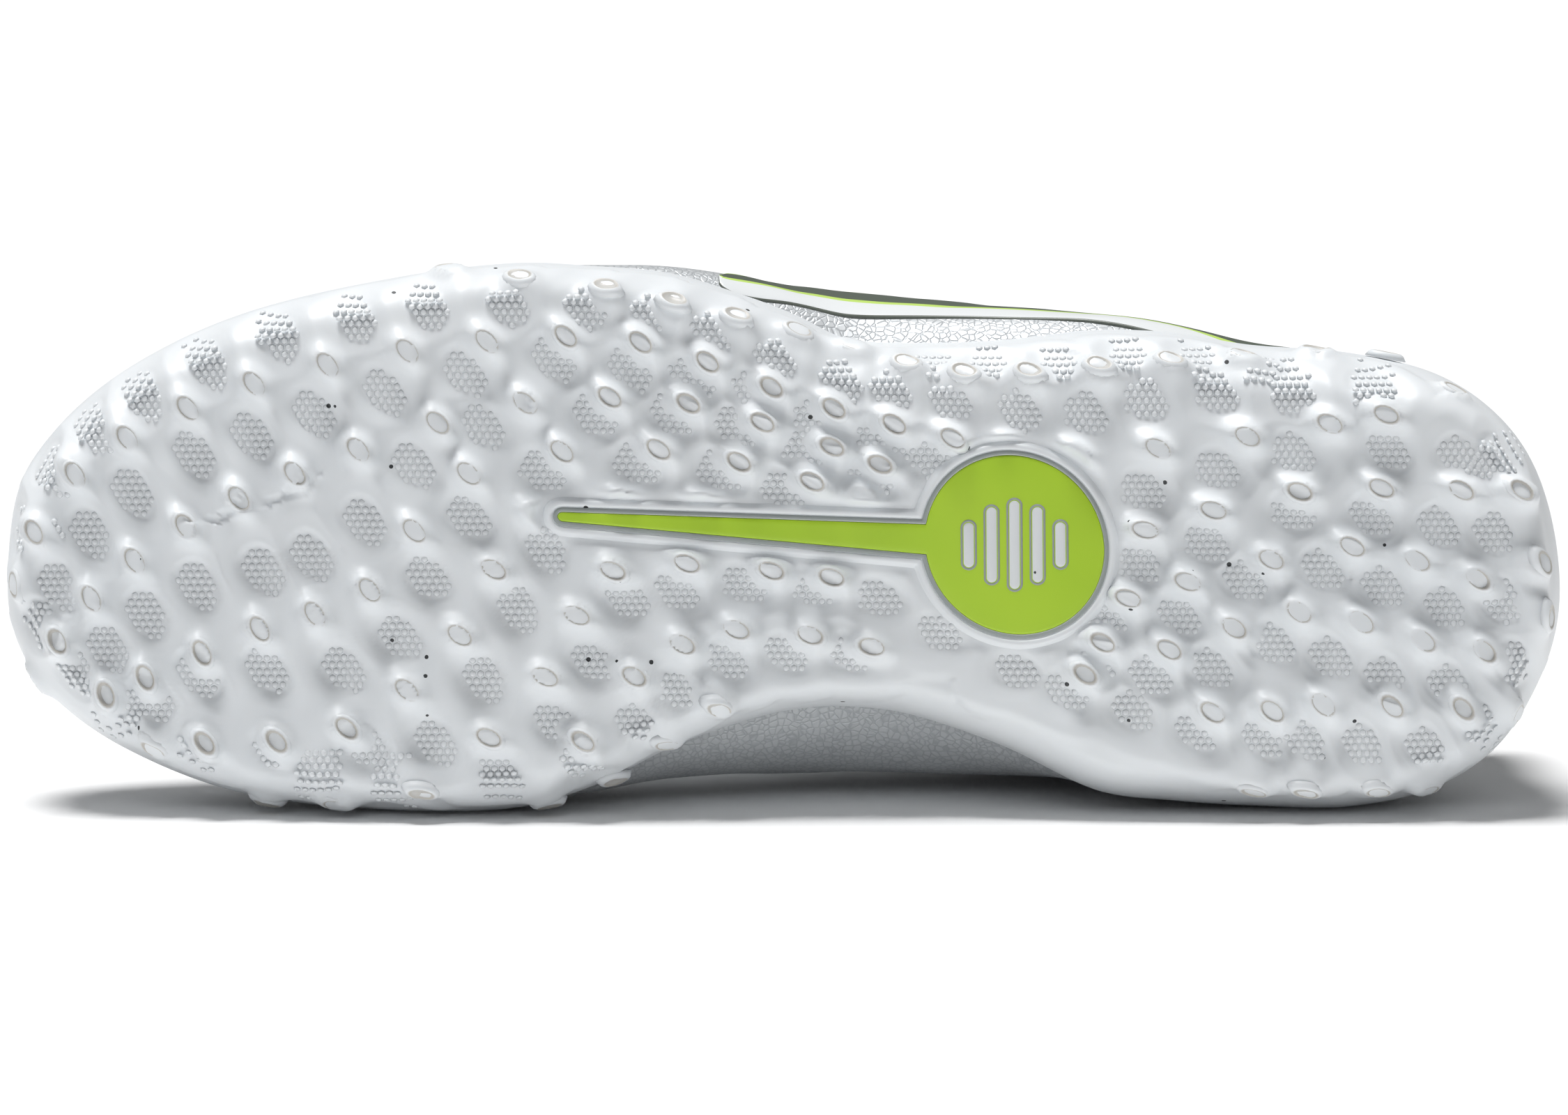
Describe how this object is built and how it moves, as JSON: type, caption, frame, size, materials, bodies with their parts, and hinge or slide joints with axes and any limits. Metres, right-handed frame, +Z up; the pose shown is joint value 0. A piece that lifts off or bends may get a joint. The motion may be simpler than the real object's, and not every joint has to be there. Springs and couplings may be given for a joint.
{
  "type": "turf shoe",
  "caption": "Left turf shoe lying on its medial side: hollow leather upper, tongue, laces, insole and a white rubber cup sole with oval studs and a lime inlay.",
  "frame": {"origin": "centre of the bounding box's bottom face, on the floor under the lying shoe", "axes": "-X towards the toe, -Y out of the sole, +Z up from the floor, the shoe's lateral side"},
  "size_m": [0.29, 0.107, 0.1011],
  "materials": {
    "outsole": "matte",
    "midsole": "matte",
    "sole_inlay": "satin",
    "upper": "satin",
    "insole": "matte",
    "tongue": "matte",
    "eyestay": "satin",
    "laces": "matte"
  },
  "bodies": {
    "root": {"outsole": "outsole", "midsole": "midsole", "sole_inlay": "sole_inlay", "upper": "upper", "insole": "insole", "tongue": "tongue", "eyestay": "eyestay", "laces": "laces"}
  },
  "joints": []
}
